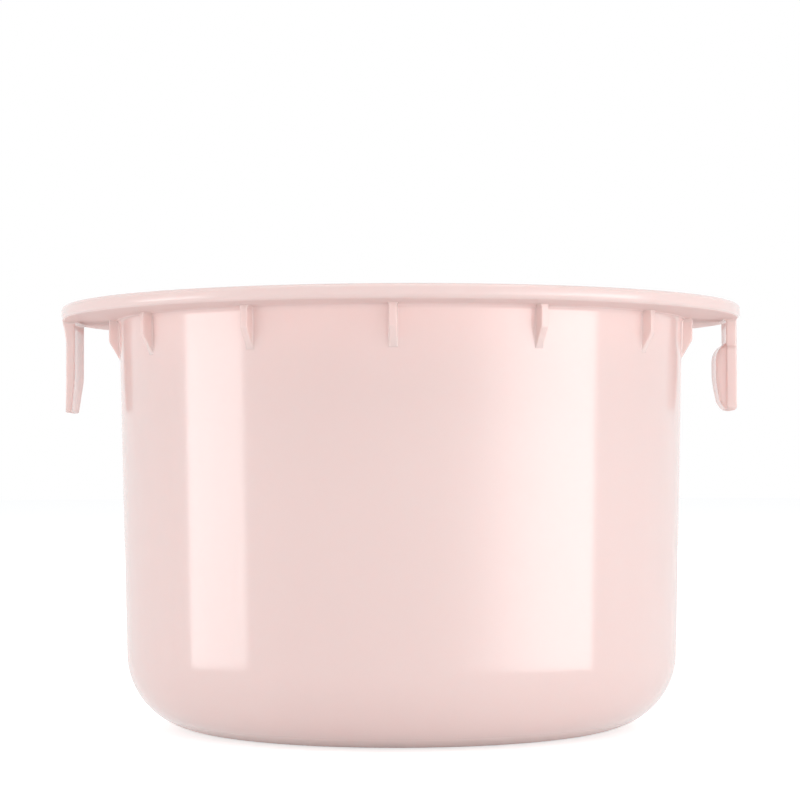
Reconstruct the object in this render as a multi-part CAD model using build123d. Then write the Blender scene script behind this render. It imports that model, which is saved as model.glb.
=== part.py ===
from build123d import *
import math
import os

# A moulded drop-in wax pot, in millimetres. Origin at the centre of the flat base, +Z up,
# the two legs on the X axis.

# cup
height = 35.7  # base to the top of the flange
cup_radius = 24.15  # outside of the wall at the top of the flange
draft = 1.35  # degrees that the wall leans inwards towards the base
corner_radius = 6.4  # outside, between wall and base
wall = 0.95
floor = 1.0

# flange
flange_width = 4.85  # from the outside of the wall to the flange's edge
flange_radius = cup_radius + flange_width
flange_thickness = 1.15
flange_edge_radius = 0.4
rim_inner_radius = 0.3  # rounding of the rim's inner edge

# centring ribs, seven on each half
ribs_per_half = 7
rib_pitch = 27.7  # degrees
rib_thickness = 0.6
rib_reach = 0.85  # from the outside of the wall to a rib's tip
rib_tip_radius = cup_radius + rib_reach
rib_straight = 1.75  # length of the straight tip below the flange
rib_length = 3.35  # whole length below the flange

# legs
leg_drop = 7.75  # from the underside of the flange to the tip
leg_tip_radius = 0.3
leg_taper_drop = 4.4  # from the underside of the flange to where the taper begins
root_clearance = 0.18  # running gap over each flexing root
left_inset = 0.32  # from the edge of the flange to the left leg's outer face
left_thickness = 0.75
left_width = 5.2
left_tip_thickness = 0.45
left_tip_width = 4.0
left_flare_inset = 0.08  # from the edge of the flange to the flared root's outer corner
left_flare_drop = 1.7  # height of the flared root
snap_inset = 0.26  # from the edge of the flange to the snap leg's outer face
neck_thickness = 0.9
neck_width = 3.8
pad_drop = 2.3  # from the underside of the flange to the top of the wide pad
pad_width = 4.4
pad_tip_width = 3.4

# hook on the right leg
hook_depth = 0.9
hook_width = 3.8
hook_drop = 1.9  # from the underside of the flange to the start of the shoulder
hook_shoulder = 1.3  # height of the sloping shoulder
hook_land = 1.0  # height of the crest
hook_tip_depth = 0.45
hook_side_bevel = 0.55

# derived places
underside = height - flange_thickness
slope = math.tan(math.radians(draft))
left_outer = flange_radius - left_inset
snap_outer = flange_radius - snap_inset
leg_tip = underside - leg_drop
leg_top = underside - root_clearance


def cup_radius_at(z):
    """Outside radius of the drafted wall at height z."""
    return cup_radius - slope * (height - z)


def corner_arc(radius, level, inset):
    """Ends and middle of the arc between a level floor and the drafted wall set in by inset."""
    lean = math.radians(draft)
    middle_z = level + radius
    offset = (radius + inset) / math.cos(lean)
    middle_x = cup_radius_at(middle_z) - offset
    turn = math.pi / 2 - lean
    angles = (0, turn / 2, turn)
    return [(middle_x + radius * math.sin(a), middle_z - radius * math.cos(a)) for a in angles]


def cup():
    """The whole cup up to the underside of the flange: wall, corner and floor."""
    outer = corner_arc(corner_radius, 0, 0)
    inner = corner_arc(corner_radius - wall, floor, wall)
    level_wall = wall / math.cos(math.radians(draft))
    outer_top = (cup_radius_at(underside), underside)
    inner_top = (cup_radius_at(underside) - level_wall, underside)
    with BuildPart() as made:
        with BuildSketch(Plane.XZ):
            with BuildLine():
                Line((0, 0), outer[0])
                ThreePointArc(*outer)
                Line(outer[2], outer_top)
                Line(outer_top, inner_top)
                Line(inner_top, inner[2])
                ThreePointArc(*reversed(inner))
                Line(inner[0], (0, floor))
                Line((0, floor), (0, 0))
            make_face()
        revolve(axis=Axis.Z)
    return made.part


def flange():
    """Flat ring with a rounded outer edge, which carries on the cup's mouth."""
    mouth = cup_radius_at(underside) - wall / math.cos(math.radians(draft))
    with BuildPart() as made:
        with BuildSketch():
            Circle(flange_radius)
            Circle(mouth, mode=Mode.SUBTRACT)
        extrude(amount=flange_thickness)
        outer_edges = made.edges().filter_by(GeomType.CIRCLE).filter_by(lambda e: e.radius > cup_radius)
        fillet(outer_edges, flange_edge_radius)
        rim_edge = made.edges().filter_by(GeomType.CIRCLE).group_by(Axis.Z)[-1].sort_by(SortBy.RADIUS)[0]
        fillet(rim_edge, rim_inner_radius)
    return made.part.moved(Location((0, 0, underside)))


def prism(outline, width):
    """An outline in the XZ plane, given a width along Y that is centred on the plane."""
    face = make_face(Polyline(*outline, close=True).edges())
    return extrude(Plane.XZ * face, amount=width / 2, both=True)


def rib(angle):
    """One rib under the flange, bevelled at its lower end, with its root on the drafted wall."""
    root = cup_radius_at(underside) - wall / 2
    outline = [
        (root, underside),
        (rib_tip_radius, underside),
        (rib_tip_radius, underside - rib_straight),
        (cup_radius_at(underside - rib_length), underside - rib_length),
        (root, underside - rib_length),
    ]
    core = Cone(cup_radius_at(0), cup_radius_at(height), height, align=(Align.CENTER, Align.CENTER, Align.MIN))
    return (prism(outline, rib_thickness) - core).rotate(Axis.Z, angle)


def waist_trim(side, drop, width, tip_width):
    """A block with a leg's outline seen from the side: level to the drop, then narrowing to the tip."""
    shoulder = underside - drop
    outline = [
        (-width / 2, underside),
        (-width / 2, shoulder),
        (-tip_width / 2, leg_tip),
        (tip_width / 2, leg_tip),
        (width / 2, shoulder),
        (width / 2, underside),
    ]
    face = make_face(Polyline(*outline, close=True).edges())
    block = extrude(Plane.YZ * face, amount=flange_radius)
    return block if side > 0 else block.mirror(Plane.YZ)


def left_leg():
    """Plain leg: flared outwards at its root, and thinner from the taper's start to its tip."""
    inner = left_thickness - left_outer
    tip_inner = left_tip_thickness - left_outer
    outline = [
        (left_flare_inset - flange_radius, leg_top),
        (inner, leg_top),
        (inner, underside - leg_taper_drop),
        (tip_inner, leg_tip),
        (-left_outer, leg_tip),
        (-left_outer, leg_top - left_flare_drop),
    ]
    blank = prism(outline, left_width)
    return blank & waist_trim(-1, leg_taper_drop, left_width, left_tip_width)


def right_leg():
    """Snap leg: a narrow flexing neck, then a wider pad that narrows to its tip."""
    inner = snap_outer - neck_thickness
    middle = snap_outer - neck_thickness / 2
    neck_length = leg_top - (underside - pad_drop)
    neck_middle = leg_top - neck_length / 2
    neck = Box(neck_thickness, neck_width, neck_length).moved(Location((middle, 0, neck_middle)))
    outline = [
        (inner, underside - pad_drop),
        (snap_outer, underside - pad_drop),
        (snap_outer, leg_tip),
        (inner, leg_tip),
    ]
    pad = prism(outline, pad_width) & waist_trim(1, leg_taper_drop, pad_width, pad_tip_width)
    tip_edges = pad.edges().filter_by(Axis.X).sort_by(Axis.Z)[:2]
    return neck + fillet(tip_edges, leg_tip_radius)


def right_hook():
    """Hook on the inner face of the snap leg: sloping shoulder, crest, then a long lead-in."""
    face_x = snap_outer - neck_thickness
    shoulder_top = underside - hook_drop
    crest_top = shoulder_top - hook_shoulder
    crest_end = crest_top - hook_land
    outline = [
        (face_x, shoulder_top),
        (face_x - hook_depth, crest_top),
        (face_x - hook_depth, crest_end),
        (face_x - hook_tip_depth, leg_tip + leg_tip_radius),
        (face_x - hook_tip_depth + leg_tip_radius, leg_tip),
        (face_x, leg_tip),
    ]
    tip_width = hook_width - (pad_width - pad_tip_width)
    blank = prism(outline, hook_width) & waist_trim(1, leg_taper_drop, hook_width, tip_width)
    crest_sides = blank.edges().filter_by(Axis.Z).group_by(Axis.X)[0]
    return chamfer(crest_sides, hook_side_bevel)


def split_at(shape, level):
    """The parts of a shape above and below a level."""
    return shape.split(Plane.XY.offset(level), keep=Keep.TOP), shape.split(Plane.XY.offset(level), keep=Keep.BOTTOM)


os.makedirs("parts", exist_ok=True)
nodes = {}
nodes["cup_wall"], nodes["cup_base"] = split_at(cup(), corner_radius)
nodes["rim_flange"] = flange()
for half, centre_angle in (("front", -90), ("rear", 90)):
    for place in range(ribs_per_half):
        turn = (place - (ribs_per_half - 1) / 2) * rib_pitch
        nodes[f"{half}_rib_{place + 1}"] = rib(centre_angle + turn)
nodes["left_leg"] = left_leg()
nodes["right_leg"] = right_leg()
nodes["right_hook"] = right_hook()
for name, shape in nodes.items():
    export_step(shape, f"parts/{name}.step")
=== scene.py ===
import math

import bpy
import numpy as np
from mathutils import Matrix, Vector


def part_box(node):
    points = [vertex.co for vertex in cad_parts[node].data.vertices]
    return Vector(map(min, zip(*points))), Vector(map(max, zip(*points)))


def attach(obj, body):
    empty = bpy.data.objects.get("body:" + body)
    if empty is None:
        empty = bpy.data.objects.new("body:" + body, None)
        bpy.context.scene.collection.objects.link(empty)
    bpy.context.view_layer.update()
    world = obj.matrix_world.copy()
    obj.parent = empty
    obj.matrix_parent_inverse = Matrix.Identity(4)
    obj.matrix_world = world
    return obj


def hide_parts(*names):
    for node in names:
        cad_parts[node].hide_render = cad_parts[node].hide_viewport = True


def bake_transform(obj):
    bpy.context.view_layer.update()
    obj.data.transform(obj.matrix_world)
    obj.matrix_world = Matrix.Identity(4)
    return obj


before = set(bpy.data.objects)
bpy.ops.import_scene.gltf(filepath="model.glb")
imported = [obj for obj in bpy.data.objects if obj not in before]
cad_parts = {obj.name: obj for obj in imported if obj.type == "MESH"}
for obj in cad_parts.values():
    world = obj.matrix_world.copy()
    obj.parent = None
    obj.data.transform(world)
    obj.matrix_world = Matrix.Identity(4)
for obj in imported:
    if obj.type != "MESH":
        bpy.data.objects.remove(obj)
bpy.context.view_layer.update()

MM = 0.001

# ---------------------------------------------------------------- sizes, from the frame

flange_low, flange_high = (np.array(corner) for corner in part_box("rim_flange"))
wall_high = np.array(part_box("cup_wall")[1])
base_low, base_high = (np.array(corner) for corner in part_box("cup_base"))
rib_low, rib_high = (np.array(corner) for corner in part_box("front_rib_4"))
left_low, left_high = (np.array(corner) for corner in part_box("left_leg"))
right_low, right_high = (np.array(corner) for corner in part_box("right_leg"))
hook_low, hook_high = (np.array(corner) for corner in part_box("right_hook"))

top = flange_high[2]
underside = flange_low[2]
flange_radius = flange_high[0]
cup_radius_high = wall_high[0]  # outside of the wall, just under the flange
corner_level = base_high[2]  # where the rounded corner runs into the wall
cup_radius_low = base_high[0]  # outside of the wall at that level
slope = (cup_radius_high - cup_radius_low) / (underside - corner_level)
lean = math.atan(slope)

WALL = 0.95 * MM
FLOOR = 1.0 * MM
EDGE_ROUND = 0.4 * MM  # outer edge of the flange
LIP_ROUND = 0.3 * MM  # inner edge of the rim
JUNCTION_ROUND = 0.45 * MM  # between the wall and the flange's underside
SKIN = 0.01 * MM  # how far every visible surface stays inside the solid's own


# ---------------------------------------------------------------- mesh tools

def grid_quads(rows, columns):
    """Faces of a grid whose points are numbered row by row, with its last column joined to its first."""
    row, column = np.meshgrid(np.arange(rows - 1), np.arange(columns), indexing="ij")
    following = (column + 1) % columns
    corners = (row * columns + column, row * columns + following,
               (row + 1) * columns + following, (row + 1) * columns + column)
    return np.stack([corner.ravel() for corner in corners], axis=1)


def closed_tube(points, shape):
    """Faces of a tube of closed sections, with a fan at each end about an added middle point."""
    rows, columns = shape
    quads = grid_quads(rows, columns)
    grid = points.reshape(rows, columns, 3)
    points = np.concatenate([points, [grid[0].mean(axis=0), grid[-1].mean(axis=0)]])
    around = np.arange(columns)
    following = (around + 1) % columns
    first, last = rows * columns, rows * columns + 1
    last_row = (rows - 1) * columns
    start = np.stack([np.full(columns, first), following, around], axis=1)
    end = np.stack([np.full(columns, last), last_row + around, last_row + following], axis=1)
    return points, quads.tolist() + start.tolist() + end.tolist()


def solid_piece(name, points, faces):
    """A mesh object at the origin, smooth, with its faces turned outwards."""
    mesh = bpy.data.meshes.new(name)
    mesh.from_pydata(points.tolist(), [], faces)
    mesh.update()
    corner = points[np.array([face[:3] for face in faces])]
    volume = np.einsum("ij,ij->i", corner[:, 0], np.cross(corner[:, 1], corner[:, 2])).sum()
    if volume < 0:
        mesh.flip_normals()
    piece = bpy.data.objects.new(name, mesh)
    bpy.context.scene.collection.objects.link(piece)
    mesh.shade_smooth()
    return piece


def arc(centre, radius, start, end, count):
    """Points on a circle about a centre, from one angle to another, in degrees."""
    angle = np.radians(np.linspace(start, end, count))
    return np.stack([centre[0] + radius * np.cos(angle), centre[1] + radius * np.sin(angle)], axis=1)


def run(start, end, count, ease=0.0):
    """Points along a straight line without its ends, gathered towards both ends by the ease."""
    t = np.linspace(0, 1, count + 2)[1:-1]
    t = t - ease * np.sin(2 * np.pi * t) / (2 * np.pi)
    start, end = np.array(start), np.array(end)
    return start + t[:, None] * (end - start)


def smooth_step(value, low, high):
    """Nought below low, one above high, and an even S-shaped rise between them."""
    t = np.clip((value - low) / (high - low), 0, 1)
    return t * t * (3 - 2 * t)


# ---------------------------------------------------------------- cup and flange

AROUND = 384
GATE_RADIUS = 2.6 * MM
GATE_DEPTH = 0.22 * MM
GATE_NUB_RADIUS = 0.7 * MM
GATE_NUB_HEIGHT = 0.14 * MM


def cup_radius_at(z):
    """Outside radius of the leaning wall at a height."""
    return cup_radius_low + slope * (z - corner_level)


def corner_turn(radius, level, inset):
    """The arc from a level floor into the leaning wall, both set in from the outside."""
    middle_z = level + radius
    middle_x = cup_radius_at(middle_z) - (radius + inset) / math.cos(lean)
    return arc((middle_x, middle_z), radius, -90, -math.degrees(lean), 22)


def outer_corner_radius():
    """Radius of the outside corner, which is also the height at which base and wall meet."""
    return corner_level - base_low[2]


def base_outline():
    """Underside of the base from the axis out: the gate's stub, its shallow well, the flat rest face."""
    low = base_low[2] + SKIN
    well = low + GATE_DEPTH
    nub = well - GATE_NUB_HEIGHT
    return np.array([
        (0.0, nub), (GATE_NUB_RADIUS * 0.7, nub), (GATE_NUB_RADIUS * 0.93, nub + 0.02 * MM),
        (GATE_NUB_RADIUS, well - 0.02 * MM), (GATE_NUB_RADIUS + 0.05 * MM, well),
        (GATE_RADIUS - 0.35 * MM, well), (GATE_RADIUS - 0.12 * MM, well - 0.04 * MM),
        (GATE_RADIUS + 0.02 * MM, low + 0.05 * MM), (GATE_RADIUS + 0.15 * MM, low),
        (GATE_RADIUS + 0.4 * MM, low),
    ])


def cup_outline():
    """The closed half section of cup and flange, from the axis under the base to the axis on the floor."""
    outer_arc = corner_turn(outer_corner_radius() - SKIN, base_low[2] + SKIN, SKIN)
    wall_x = cup_radius_at(underside) - SKIN
    low_z, high_z = underside + SKIN, top - SKIN
    junction = arc((wall_x + JUNCTION_ROUND, low_z - JUNCTION_ROUND), JUNCTION_ROUND, 180, 90, 9)
    edge_x = flange_radius - SKIN - EDGE_ROUND
    under_edge = arc((edge_x, low_z + EDGE_ROUND), EDGE_ROUND, -90, 0, 9)
    over_edge = arc((edge_x, high_z - EDGE_ROUND), EDGE_ROUND, 0, 90, 9)
    inner_wall = WALL / math.cos(lean)
    lip_x = cup_radius_at(top) - inner_wall + SKIN
    lip = arc((lip_x + LIP_ROUND, high_z - LIP_ROUND), LIP_ROUND, 90, 180, 7)
    inner_arc = corner_turn(outer_corner_radius() - WALL, base_low[2] + FLOOR, WALL)[::-1]
    close = 0.12 * MM
    stretches = [
        base_outline(),
        run((GATE_RADIUS + 0.4 * MM, base_low[2] + SKIN), outer_arc[0], 6, 0.6),
        outer_arc,
        run(outer_arc[-1], junction[0], 14, 0.7),
        junction,
        [(junction[-1][0] + close, low_z)],
        [(under_edge[0][0] - close, low_z)],
        under_edge,
        over_edge,
        [(over_edge[-1][0] - close, high_z)],
        [(lip[0][0] + close, high_z)],
        lip,
        run(lip[-1], inner_arc[0], 14, 0.7),
        inner_arc,
        run(inner_arc[-1], (0.0, base_low[2] + FLOOR), 8, 0.5),
        [(0.0, base_low[2] + FLOOR)],
    ]
    return np.concatenate([np.asarray(stretch, float).reshape(-1, 2) for stretch in stretches])


def make_cup():
    """One moulded skin: the section turned once about the axis, so that its point (r, z) lies at
    (r cos a, r sin a, z) for each angle a, and closed on the axis by the section's two ends."""
    outline = cup_outline()
    angle = np.arange(AROUND) * 2 * np.pi / AROUND
    radius = outline[1:-1, 0][:, None]
    shape = (len(outline) - 2, AROUND)
    level = np.broadcast_to(outline[1:-1, 1][:, None], shape)
    points = np.stack([radius * np.cos(angle), radius * np.sin(angle), level], axis=2).reshape(-1, 3)
    points, faces = closed_tube(points, shape)
    points[-2:, 2] = outline[[0, -1], 1]
    piece = solid_piece("moulded_cup", points, faces)
    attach(piece, "pot")
    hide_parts("cup_wall", "cup_base", "rim_flange")
    return piece


# ---------------------------------------------------------------- ribs

RIB_FILLET = 0.10 * MM
RIB_EDGE = 0.09 * MM
RIB_ROOF = 0.12 * MM  # how much the plate widens where it meets the flange
RIB_ROOF_HEIGHT = 0.25 * MM
RIB_TURN = 0.06 * MM  # rounding where the straight tip turns into the bevel
RIB_SINK = 0.35 * MM  # how far the hidden root goes into the wall
rib_thickness = rib_high[0] - rib_low[0]
rib_tip = -rib_low[1]
rib_bottom = rib_low[2]
RIB_STRAIGHT = 1.75 * MM
RIBS_PER_HALF = 7
RIB_PITCH = math.radians(27.7)


def rib_section(across):
    """Half thickness of a rib at a height over the wall: half the plate, wider in a quarter-round
    flare near the wall, and rounded off at the tip by a quarter circle."""
    below = np.clip(RIB_FILLET - across, 0, None)
    flare = RIB_FILLET - np.sqrt(np.clip(RIB_FILLET ** 2 - below ** 2, 0, None))
    return rib_thickness / 2 + flare


def rib_skin(angle):
    """A plate whose closed section runs from the hidden root up one side, round the tip and down the
    other. Its height over the wall h(z) is full along the straight tip, then falls evenly to nothing."""
    level = np.concatenate([
        np.linspace(underside + 0.3 * MM, underside - RIB_STRAIGHT + 0.1 * MM, 14),
        np.linspace(underside - RIB_STRAIGHT + 0.05 * MM, rib_bottom - 0.03 * MM, 26),
    ])
    wall_x = cup_radius_at(level)
    full = rib_tip - SKIN - wall_x
    fall = (level - rib_bottom) / (underside - RIB_STRAIGHT - rib_bottom)
    slant = fall * (rib_tip - cup_radius_at(underside - RIB_STRAIGHT))
    height = 0.5 * (full + slant - np.sqrt((full - slant) ** 2 + RIB_TURN ** 2))
    side = np.concatenate([[0.0], np.linspace(0.02, 1, 9) ** 1.6])
    turn = np.radians(np.linspace(0, 90, 7))
    edge = np.minimum(RIB_EDGE, np.clip(height, 0.01 * MM, None) / 2)[:, None]
    rising = np.clip(height[:, None] - edge, 0.0, None) * side
    flank = rib_section(rising)
    tip_over = np.clip(height[:, None] - edge, 0.0, None) + edge * np.sin(turn)
    tip_half = rib_thickness / 2 - edge * (1 - np.cos(turn))
    sink = np.full((len(level), 1), -RIB_SINK)
    over = np.concatenate([sink, rising, tip_over[:, 1:]], axis=1)
    half = np.concatenate([flank[:, :1], flank, tip_half[:, 1:]], axis=1)
    spread = RIB_ROOF * (1 - smooth_step(underside - level, 0, RIB_ROOF_HEIGHT))[:, None]
    half = half + spread * (over >= 0)
    over = np.concatenate([over, over[:, ::-1]], axis=1)
    half = np.concatenate([half, -half[:, ::-1]], axis=1)
    radial = wall_x[:, None] + over
    x = radial * math.cos(angle) - half * math.sin(angle)
    y = radial * math.sin(angle) + half * math.cos(angle)
    z = np.broadcast_to(level[:, None], x.shape)
    points = np.stack([x, y, z], axis=2).reshape(-1, 3)
    return points, x.shape


def make_ribs():
    made = []
    for half, facing in (("front", -math.pi / 2), ("rear", math.pi / 2)):
        for place in range(RIBS_PER_HALF):
            angle = facing + (place - (RIBS_PER_HALF - 1) / 2) * RIB_PITCH
            points, shape = rib_skin(angle)
            node = f"{half}_rib_{place + 1}"
            piece = solid_piece(f"moulded_{node}", *closed_tube(points, shape))
            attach(piece, "pot")
            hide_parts(node)
            made.append(piece)
    return made


# ---------------------------------------------------------------- legs

LEG_EDGE = 0.14 * MM
LEG_ROOT = 0.35 * MM  # how far the hidden root reaches up into the flange
ROOT_FLARE = 0.3 * MM
LEG_STEPS = 110
LEG_STEP_EASE = 0.6  # how far the sections are gathered towards the root and the tip
TIP_DRAW = 0.9  # how much of the tip's rounding goes into the thickness
TAPER_DROP = 4.4 * MM
LEFT_THICKNESS = 0.75 * MM
LEFT_TIP_THICKNESS = 0.45 * MM
LEFT_TIP_WIDTH = 4.0 * MM
LEFT_INSET = 0.32 * MM
LEFT_FLARE_DROP = 1.9 * MM
LEFT_TIP_DRIFT = 0.08 * MM  # how far the outer face leans out towards the tip
LEFT_TIP_ROUND = 0.1 * MM
NECK_WIDTH = 3.8 * MM
PAD_DROP = 2.3 * MM
PAD_TIP_WIDTH = 3.4 * MM
PAD_TIP_ROUND = 0.35 * MM
HOOK_RISE = 1.75 * MM  # height of the rounded shoulder
HOOK_LAND = 0.6 * MM
HOOK_TIP_DEPTH = 0.4 * MM
HOOK_START = 0.35 * MM  # height over which the shoulder leaves the neck
HOOK_END = 0.8 * MM  # height over which the hook runs out at the tip
HOOK_CREST = 0.40  # half the crest's width, as a share of the pad's width


def ramp(value, length):
    """Nought before the start, then a rise to one at the length, with a softened beginning."""
    t = np.clip(value / length, 0, 1)
    soft = 0.3
    return np.where(t < soft, t * t / (2 * soft), t - soft / 2) / (1 - soft / 2)


def leg_section(outer, inner, half_width, bump, crest):
    """Closed sections of a leg, one row per level: a rectangle with quarter-round corners, and on its
    inner face a bump b(y), which is whole over the crest and falls evenly to nothing at the sides.
    The section is then bent to the flange's circle: x loses R - sqrt(R^2 - y^2)."""
    edge = np.minimum(LEG_EDGE, (outer - inner) * 0.4)
    quarter = np.radians(np.linspace(0, 90, 6))
    x_parts, y_parts = [], []
    near, far = outer - edge, inner + edge
    for x, side, start in ((near, 1, 0), (far, 1, 90), (far, -1, 180), (near, -1, 270)):
        turn = quarter + math.radians(start)
        x_parts.append(x + edge * np.cos(turn))
        y_parts.append(side * (half_width - edge) + edge * np.sin(turn))
        if start == 90:
            y_face = np.sin(np.radians(np.linspace(90, -90, 35)))[1:-1] * (half_width - edge)
            whole = 1 - smooth_step(np.abs(y_face), crest, half_width - edge)
            x_parts.append(inner - bump * whole)
            y_parts.append(y_face)
    x, y = np.concatenate(x_parts, axis=1), np.concatenate(y_parts, axis=1)
    return x - (flange_radius - np.sqrt(flange_radius ** 2 - y ** 2)), y


def leg_skin(side, tip, tip_radius, outer, thickness, width, bump, crest):
    """A leg as sections stacked from inside the flange down to the tip. Its outer face, thickness,
    width, bump and crest are functions of the level; every face draws in by a quarter circle at the tip."""
    t = np.linspace(0, 1, LEG_STEPS)
    t = t - LEG_STEP_EASE * np.sin(2 * np.pi * t) / (2 * np.pi)
    level = underside + LEG_ROOT + t * (tip - underside - LEG_ROOT)
    near = np.clip(tip_radius - (level - tip), 0, tip_radius)
    drawn = tip_radius - np.sqrt(np.clip(tip_radius ** 2 - near ** 2, 0, None))
    flare = ROOT_FLARE * (1 - np.sqrt(1 - (1 - np.clip((underside - level) / ROOT_FLARE, 0, 1)) ** 2))
    outside = outer(level)
    rows = (
        outside - drawn * TIP_DRAW,
        outside - thickness(level) + drawn * TIP_DRAW - flare,
        width(level) / 2 - drawn + flare,
        bump(level),
        crest(level),
    )
    x, y = leg_section(*(row[:, None] for row in rows))
    z = np.broadcast_to(level[:, None], x.shape)
    points = np.stack([side * x, y, z], axis=2).reshape(-1, 3)
    return closed_tube(points, x.shape)


def make_left_leg():
    """Plain leg, whose outer face sweeps down and in from the edge of the flange."""
    tip = left_low[2] + SKIN
    taper_top = underside - TAPER_DROP
    face_x = flange_radius - LEFT_INSET
    full_width = left_high[1] - left_low[1] - 2 * SKIN

    def outer(level):
        swept = np.clip((level - underside + LEFT_FLARE_DROP) / LEFT_FLARE_DROP, 0, 1)
        drift = LEFT_TIP_DRIFT * ramp(taper_top - level, taper_top - tip)
        return face_x + (LEFT_INSET - 2 * SKIN) * swept ** 1.5 + drift

    def thickness(level):
        thin = (LEFT_THICKNESS - LEFT_TIP_THICKNESS) * ramp(taper_top - level, taper_top - tip)
        return LEFT_THICKNESS - thin + outer(level) - face_x

    def width(level):
        return full_width - (full_width - LEFT_TIP_WIDTH) * ramp(taper_top - level, taper_top - tip)

    def flat(level):
        return np.zeros_like(level)

    points, faces = leg_skin(-1, tip, LEFT_TIP_ROUND, outer, thickness, width, flat, flat)
    piece = solid_piece("moulded_left_leg", points, faces)
    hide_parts("left_leg")
    bend_at_root(piece)
    return piece


def make_right_leg():
    """Snap leg: a neck, then a wider pad with a rounded hook on its inner face."""
    tip = right_low[2] + SKIN
    taper_top = underside - TAPER_DROP
    pad_top = underside - PAD_DROP
    face_x = right_high[0] - SKIN
    full = right_high[0] - right_low[0] - SKIN
    pad_width = right_high[1] - right_low[1] - 2 * SKIN
    depth = right_low[0] - hook_low[0] - SKIN
    shoulder_top = hook_high[2]
    crest_end = shoulder_top - HOOK_RISE - HOOK_LAND

    def outer(level):
        return np.full_like(level, face_x)

    def thickness(level):
        return np.full_like(level, full)

    def width(level):
        opened = smooth_step(pad_top - level, -0.02 * MM, 0.14 * MM)
        pad = pad_width - (pad_width - PAD_TIP_WIDTH) * ramp(taper_top - level, taper_top - tip)
        return NECK_WIDTH + opened * (pad - NECK_WIDTH)

    def bump(level):
        left = 1 - np.clip((shoulder_top - level) / HOOK_RISE, 0, 1)
        rise = (1 - left ** 2.4) * smooth_step(shoulder_top - level, 0, HOOK_START)
        fall = (depth - HOOK_TIP_DEPTH) * ramp(crest_end - level, crest_end - tip) ** 1.4
        end = np.sqrt(np.clip((level - tip) / HOOK_END, 0, 1))
        return (depth * rise - fall) * end

    def crest(level):
        return width(level) * HOOK_CREST

    points, faces = leg_skin(1, tip, PAD_TIP_ROUND, outer, thickness, width, bump, crest)
    piece = solid_piece("moulded_right_leg", points, faces)
    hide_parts("right_leg", "right_hook")
    bend_at_root(piece)
    return piece


def bend_at_root(piece):
    """Bakes the leg's placement into its mesh, which leaves the object at the origin."""
    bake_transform(piece)


# ---------------------------------------------------------------- plastic

def pink_plastic():
    """Pale pink glossy polypropylene: faint flow clouds in the colour, a slight haze in the gloss
    that varies over centimetres, and the very fine orange peel of a polished mould. Faces that look
    straight down are duller."""
    material = bpy.data.materials.new("pink_polypropylene")
    material.use_nodes = True
    nodes, links = material.node_tree.nodes, material.node_tree.links
    shader = nodes["Principled BSDF"]
    shader.inputs["IOR"].default_value = 1.49
    shader.inputs["Subsurface Weight"].default_value = 0.18
    shader.inputs["Subsurface Radius"].default_value = (1.0, 0.55, 0.5)
    shader.inputs["Subsurface Scale"].default_value = 1.2 * MM
    place = nodes.new("ShaderNodeTexCoord")

    flow = nodes.new("ShaderNodeTexNoise")
    flow.inputs["Scale"].default_value = 55
    flow.inputs["Detail"].default_value = 3
    stretch = nodes.new("ShaderNodeMapping")
    stretch.inputs["Scale"].default_value = (1, 1, 0.35)
    links.new(place.outputs["Object"], stretch.inputs["Vector"])
    links.new(stretch.outputs["Vector"], flow.inputs["Vector"])
    tint = nodes.new("ShaderNodeValToRGB")
    tint.color_ramp.elements[0].position = 0.3
    tint.color_ramp.elements[0].color = (0.84, 0.65, 0.62, 1)
    tint.color_ramp.elements[1].position = 0.7
    tint.color_ramp.elements[1].color = (0.86, 0.675, 0.645, 1)
    links.new(flow.outputs["Fac"], tint.inputs["Fac"])
    links.new(tint.outputs["Color"], shader.inputs["Base Color"])

    haze = nodes.new("ShaderNodeTexNoise")
    haze.inputs["Scale"].default_value = 140
    haze.inputs["Detail"].default_value = 4
    links.new(place.outputs["Object"], haze.inputs["Vector"])
    gloss = nodes.new("ShaderNodeMapRange")
    gloss.inputs["To Min"].default_value = 0.10
    gloss.inputs["To Max"].default_value = 0.15
    links.new(haze.outputs["Fac"], gloss.inputs["Value"])
    facing = nodes.new("ShaderNodeSeparateXYZ")
    links.new(place.outputs["Normal"], facing.inputs["Vector"])
    dull = nodes.new("ShaderNodeMapRange")
    dull.inputs["From Min"].default_value = -0.8
    dull.inputs["From Max"].default_value = -0.98
    dull.inputs["To Max"].default_value = 0.5
    links.new(facing.outputs["Z"], dull.inputs["Value"])
    rough = nodes.new("ShaderNodeMath")
    rough.operation = "ADD"
    links.new(gloss.outputs["Result"], rough.inputs[0])
    links.new(dull.outputs["Result"], rough.inputs[1])
    links.new(rough.outputs["Value"], shader.inputs["Roughness"])

    peel = nodes.new("ShaderNodeTexNoise")
    peel.inputs["Scale"].default_value = 900
    peel.inputs["Detail"].default_value = 2
    links.new(place.outputs["Object"], peel.inputs["Vector"])
    relief = nodes.new("ShaderNodeBump")
    relief.inputs["Strength"].default_value = 0.05
    relief.inputs["Distance"].default_value = 0.02 * MM
    links.new(peel.outputs["Fac"], relief.inputs["Height"])
    links.new(relief.outputs["Normal"], shader.inputs["Normal"])
    return material


# ---------------------------------------------------------------- studio

CAMERA_TURN = math.radians(1.35)  # about the pot's axis, towards the hook side
CAMERA_DISTANCE = 7 * flange_radius
CAMERA_HEIGHT = top - 0.4742 * flange_radius
CAMERA_PITCH = math.radians(1.66)
CAMERA_ROLL = math.radians(0.17)
CAMERA_AIM = math.radians(0.024)  # to the left of the axis
FOCAL_LENGTH = 106.0
SENSOR = 36.0


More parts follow.
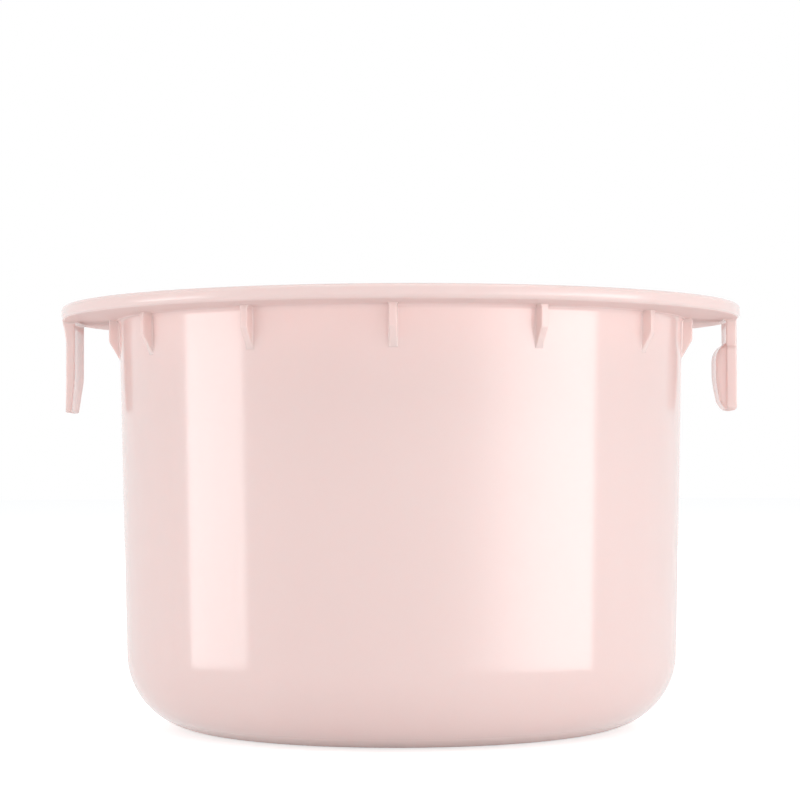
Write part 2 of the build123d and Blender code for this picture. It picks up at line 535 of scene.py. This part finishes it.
def make_camera():
    """A long lens just below the rim's level, tipped slightly up."""
    data = bpy.data.cameras.new("studio_camera")
    data.sensor_width = SENSOR
    data.lens = FOCAL_LENGTH
    data.clip_start = 0.01
    camera = bpy.data.objects.new("studio_camera", data)
    bpy.context.scene.collection.objects.link(camera)
    side, back = math.sin(CAMERA_TURN), math.cos(CAMERA_TURN)
    place = Vector((CAMERA_DISTANCE * side, -CAMERA_DISTANCE * back, CAMERA_HEIGHT))
    heading = Matrix.Rotation(CAMERA_TURN + CAMERA_AIM, 4, "Z")
    pitch = Matrix.Rotation(math.pi / 2 + CAMERA_PITCH, 4, "X")
    roll = Matrix.Rotation(-CAMERA_ROLL, 4, "Z")
    camera.matrix_world = Matrix.Translation(place) @ heading @ pitch @ roll
    bpy.context.scene.camera = camera
    return camera


def softbox(name, azimuth, elevation, distance, width, height, strength, mirrored=True):
    """A soft rectangular lamp that faces the pot. Azimuth is from the camera's side, towards the hook;
    strength is the radiance of its face. A lamp that isn't mirrored lights without a reflection."""
    data = bpy.data.lights.new(name, "AREA")
    data.shape = "RECTANGLE"
    data.size = width
    data.size_y = height
    data.energy = strength * math.pi * width * height
    lamp = bpy.data.objects.new(name, data)
    bpy.context.scene.collection.objects.link(lamp)
    lamp.visible_glossy = mirrored
    turn, rise = math.radians(azimuth), math.radians(elevation)
    target = Vector((0, 0, top * LAMP_AIM))
    offset = Vector((math.sin(turn) * math.cos(rise), -math.cos(turn) * math.cos(rise), math.sin(rise)))
    lamp.location = target + distance * offset
    lamp.rotation_euler = offset.to_track_quat("Z", "Y").to_euler()
    return lamp


LAMP_AIM = 0.55  # share of the pot's height that the lamps face
RIGHT_PANELS = 8
RIGHT_RADIANCE = 4.2


def make_lamps():
    """A narrow strip on the left, a bank of panels on the right whose radiance rises as a squared sine
    from its front edge, four fills that leave no reflection, and a soft light from above."""
    softbox("left_strip", -76, -2.7, 0.30, 0.157, 0.078, 3.9)
    for panel in range(RIGHT_PANELS):
        rise = math.sin(math.pi / 2 * min((panel + 1) / (RIGHT_PANELS - 2), 1)) ** 2
        softbox(f"right_panel_{panel + 1}", 22 + 8 * panel, -2, 0.33, 0.047, 0.10, RIGHT_RADIANCE * rise)
    softbox("left_fill", -80, 0, 0.40, 0.25, 0.20, 3.0, mirrored=False)
    softbox("right_fill", 80, 0, 0.40, 0.25, 0.20, 2.3, mirrored=False)
    softbox("low_front", 2, 0, 0.50, 0.36, 0.14, 5.0, mirrored=False)
    softbox("rear_fill", 180, 15, 0.45, 0.45, 0.25, 3.0, mirrored=False)
    softbox("overhead", 10, 78, 0.50, 0.50, 0.45, 1.5)


def background_rays(nodes, links):
    """One for rays that should see the plain white background: from the camera, mirrored or refracted."""
    rays = nodes.new("ShaderNodeLightPath")
    either = nodes.new("ShaderNodeMath")
    either.operation = "MAXIMUM"
    links.new(rays.outputs["Is Camera Ray"], either.inputs[0])
    links.new(rays.outputs["Is Glossy Ray"], either.inputs[1])
    seen = nodes.new("ShaderNodeMath")
    seen.operation = "MAXIMUM"
    links.new(either.outputs["Value"], seen.inputs[0])
    links.new(rays.outputs["Is Transmission Ray"], seen.inputs[1])
    return seen.outputs["Value"]


WORLD_LIGHT = 0.42
FLOOR_REACH = 1.5
FLOOR_GLOW = 0.62  # lifts the lit floor to white for the camera


def make_world():
    """White to the camera and in reflections; an even soft light to everything else."""
    world = bpy.data.worlds.new("studio_world")
    bpy.context.scene.world = world
    world.use_nodes = True
    nodes, links = world.node_tree.nodes, world.node_tree.links
    fill = nodes["Background"]
    fill.inputs["Color"].default_value = (0.97, 0.985, 1.0, 1)
    fill.inputs["Strength"].default_value = WORLD_LIGHT
    white = nodes.new("ShaderNodeBackground")
    white.inputs["Color"].default_value = (1, 1, 1, 1)
    white.inputs["Strength"].default_value = 1.0
    mix = nodes.new("ShaderNodeMixShader")
    links.new(background_rays(nodes, links), mix.inputs["Fac"])
    links.new(fill.outputs["Background"], mix.inputs[1])
    links.new(white.outputs["Background"], mix.inputs[2])
    links.new(mix.outputs["Shader"], nodes["World Output"].inputs["Surface"])


def make_floor():
    """A pale floor that reads as white to the camera and keeps a faint shadow under the pot."""
    mesh = bpy.data.meshes.new("floor")
    corners = [(x * FLOOR_REACH, y * FLOOR_REACH, 0) for x, y in ((-1, -1), (1, -1), (1, 1), (-1, 1))]
    mesh.from_pydata(corners, [], [(0, 1, 2, 3)])
    floor = bpy.data.objects.new("floor", mesh)
    bpy.context.scene.collection.objects.link(floor)
    floor.location.z = base_low[2] - 0.02 * MM
    material = bpy.data.materials.new("pale_floor")
    material.use_nodes = True
    nodes, links = material.node_tree.nodes, material.node_tree.links
    shader = nodes["Principled BSDF"]
    shader.inputs["Base Color"].default_value = (0.88, 0.88, 0.88, 1)
    shader.inputs["Roughness"].default_value = 0.9
    shader.inputs["Specular IOR Level"].default_value = 0.0
    glow = nodes.new("ShaderNodeEmission")
    lift = nodes.new("ShaderNodeMath")
    lift.operation = "MULTIPLY"
    lift.inputs[1].default_value = FLOOR_GLOW
    links.new(background_rays(nodes, links), lift.inputs[0])
    links.new(lift.outputs["Value"], glow.inputs["Strength"])
    both = nodes.new("ShaderNodeAddShader")
    links.new(shader.outputs["BSDF"], both.inputs[0])
    links.new(glow.outputs["Emission"], both.inputs[1])
    links.new(both.outputs["Shader"], nodes["Material Output"].inputs["Surface"])
    mesh.materials.append(material)
    floor.visible_glossy = False  # the gloss shows the white background and the lamps' whole faces


# ---------------------------------------------------------------- the scene

plastic = pink_plastic()
pieces = [make_cup(), *make_ribs(), make_left_leg(), make_right_leg()]
for piece in pieces:
    piece.data.materials.append(plastic)

make_floor()
make_camera()
make_lamps()
make_world()
bpy.context.scene.view_settings.view_transform = "Standard"
